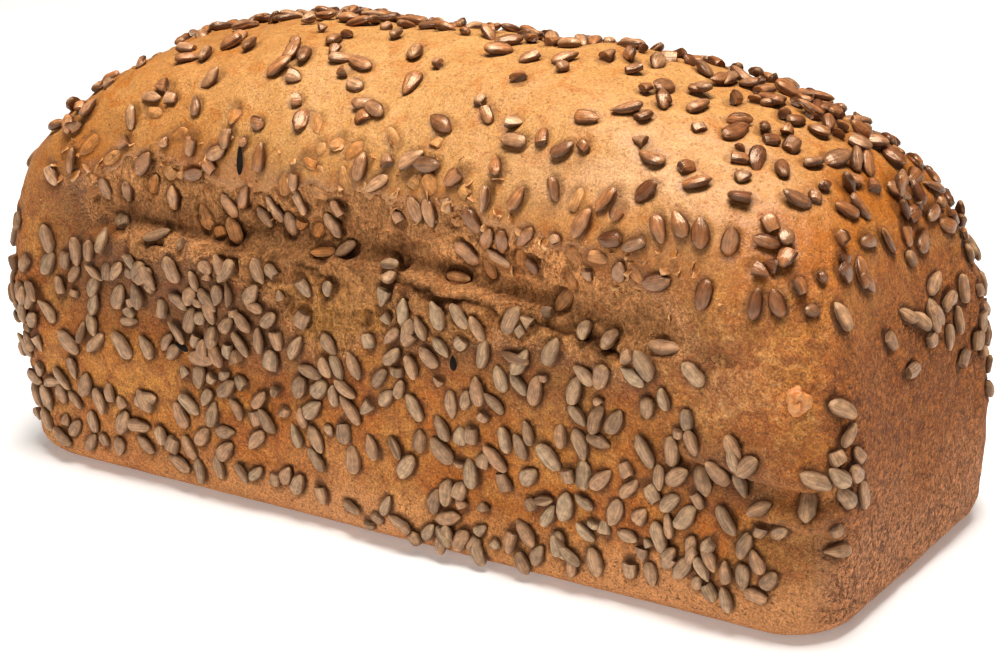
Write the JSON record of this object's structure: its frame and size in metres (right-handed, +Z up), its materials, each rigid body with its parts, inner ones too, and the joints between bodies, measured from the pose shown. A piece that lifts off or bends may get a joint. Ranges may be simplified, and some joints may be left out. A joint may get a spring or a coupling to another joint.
{
  "type": "sunflower seed bread",
  "caption": "Uncut tin loaf with a domed top, a torn seam under the dome and sunflower seeds all over its crust.",
  "frame": {"origin": "middle of the flat base, on the table", "axes": "+X along the loaf's length, +Z up, -Y out of the long side where the crust tore open"},
  "size_m": [0.2811, 0.1072, 0.1325],
  "materials": {
    "crust": "baked bread crust, golden brown on the dome, tan on the tinned sides, matte to slightly shiny",
    "toasted_seed": "toasted sunflower kernel, warm brown, slightly glossy",
    "pale_seed": "sunflower kernel shielded by the tin, grey tan, satin"
  },
  "bodies": {
    "root": {"loaf": "crust"}
  },
  "joints": []
}
